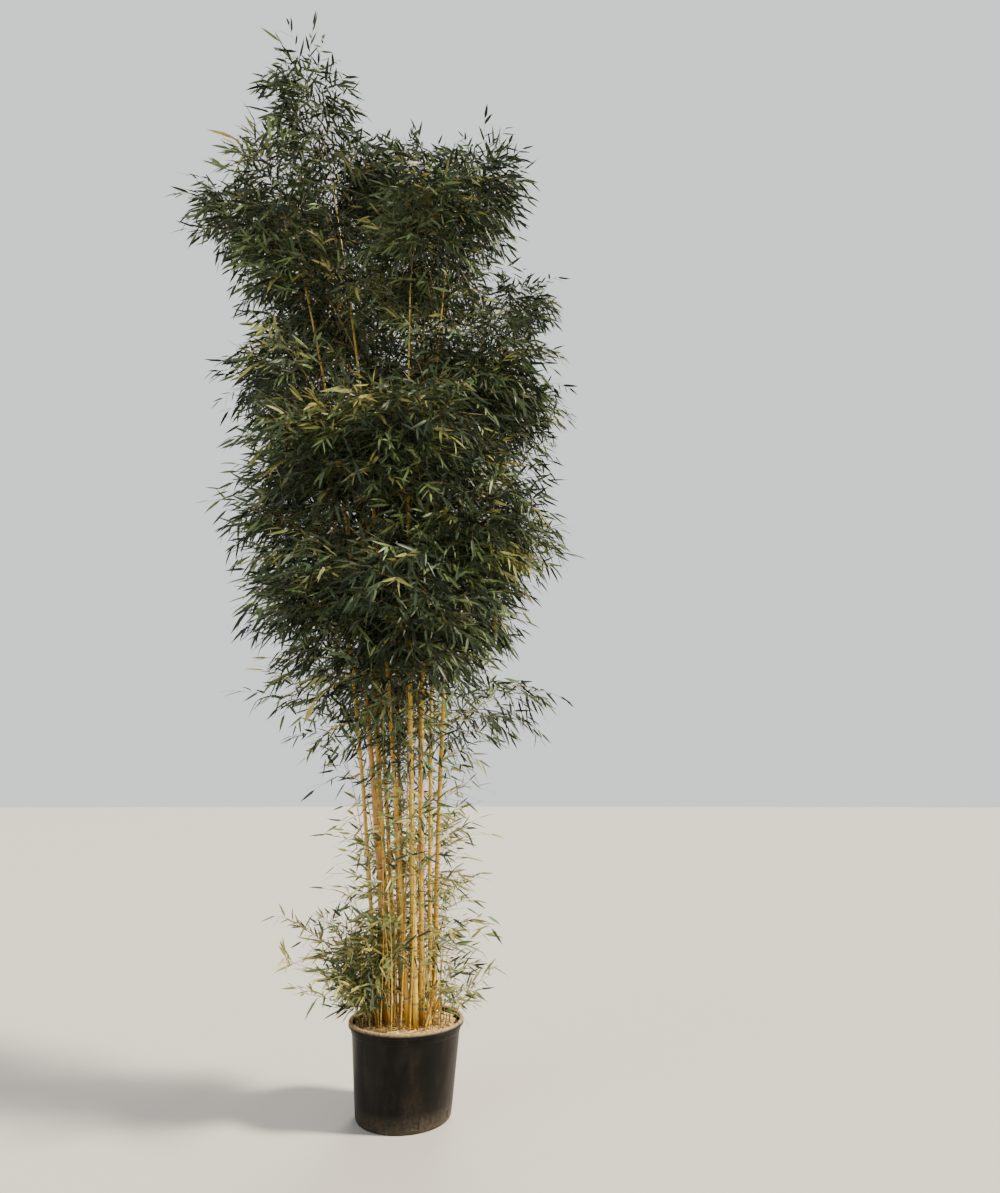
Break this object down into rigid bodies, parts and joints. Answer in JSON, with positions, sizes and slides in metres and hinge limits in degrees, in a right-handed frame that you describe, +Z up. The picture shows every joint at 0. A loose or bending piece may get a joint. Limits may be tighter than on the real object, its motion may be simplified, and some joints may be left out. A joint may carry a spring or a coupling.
{
  "type": "potted bamboo",
  "caption": "Tall clump of golden bamboo canes with drooping leafy sprays, growing in a round tapered black nursery pot filled with bark litter.",
  "frame": {"origin": "middle of the pot's flat underside", "axes": "+Z up; +X to the viewer's right and +Y away from the viewer, as in the picture, so the clump leans towards -X"},
  "size_m": [2.8076, 2.526, 5.9859],
  "materials": {
    "pot": "dusty satin black moulded polyethylene",
    "litter": "rough loose bark chips, straw and dry leaves",
    "culm": "smooth waxy golden yellow cane",
    "leaf": "satin dark green leaf"
  },
  "bodies": {
    "root": {"pot": "pot", "litter": "litter", "culm_01": "culm", "culm_02": "culm", "culm_03": "culm", "culm_04": "culm", "culm_05": "culm", "culm_06": "culm", "culm_07": "culm", "culm_08": "culm", "culm_09": "culm", "culm_10": "culm", "culm_11": "culm", "culm_12": "culm", "culm_13": "culm", "culm_14": "culm", "culm_01_low_spray": "leaf", "culm_01_high_spray": "leaf", "culm_01_plume": "leaf", "culm_02_low_spray": "leaf", "culm_02_high_spray": "leaf", "culm_02_plume": "leaf", "culm_03_low_spray": "leaf", "culm_03_high_spray": "leaf", "culm_03_plume": "leaf", "culm_04_low_spray": "leaf", "culm_04_high_spray": "leaf", "culm_04_plume": "leaf", "culm_05_low_spray": "leaf", "culm_05_high_spray": "leaf", "culm_05_plume": "leaf", "culm_06_low_spray": "leaf", "culm_06_high_spray": "leaf", "culm_06_plume": "leaf", "culm_07_low_spray": "leaf", "culm_07_high_spray": "leaf", "culm_07_plume": "leaf", "culm_08_low_spray": "leaf", "culm_08_high_spray": "leaf", "culm_08_plume": "leaf", "culm_09_low_spray": "leaf", "culm_09_high_spray": "leaf", "culm_09_plume": "leaf", "culm_10_low_spray": "leaf", "culm_10_high_spray": "leaf", "culm_10_plume": "leaf", "culm_11_low_spray": "leaf", "culm_11_high_spray": "leaf", "culm_11_plume": "leaf", "culm_12_low_spray": "leaf", "culm_12_high_spray": "leaf", "culm_12_plume": "leaf", "culm_13_low_spray": "leaf", "culm_13_high_spray": "leaf", "culm_13_plume": "leaf", "culm_14_low_spray": "leaf", "culm_14_high_spray": "leaf", "culm_14_plume": "leaf", "tuft_left": "leaf", "tuft_right": "leaf"}
  },
  "joints": []
}
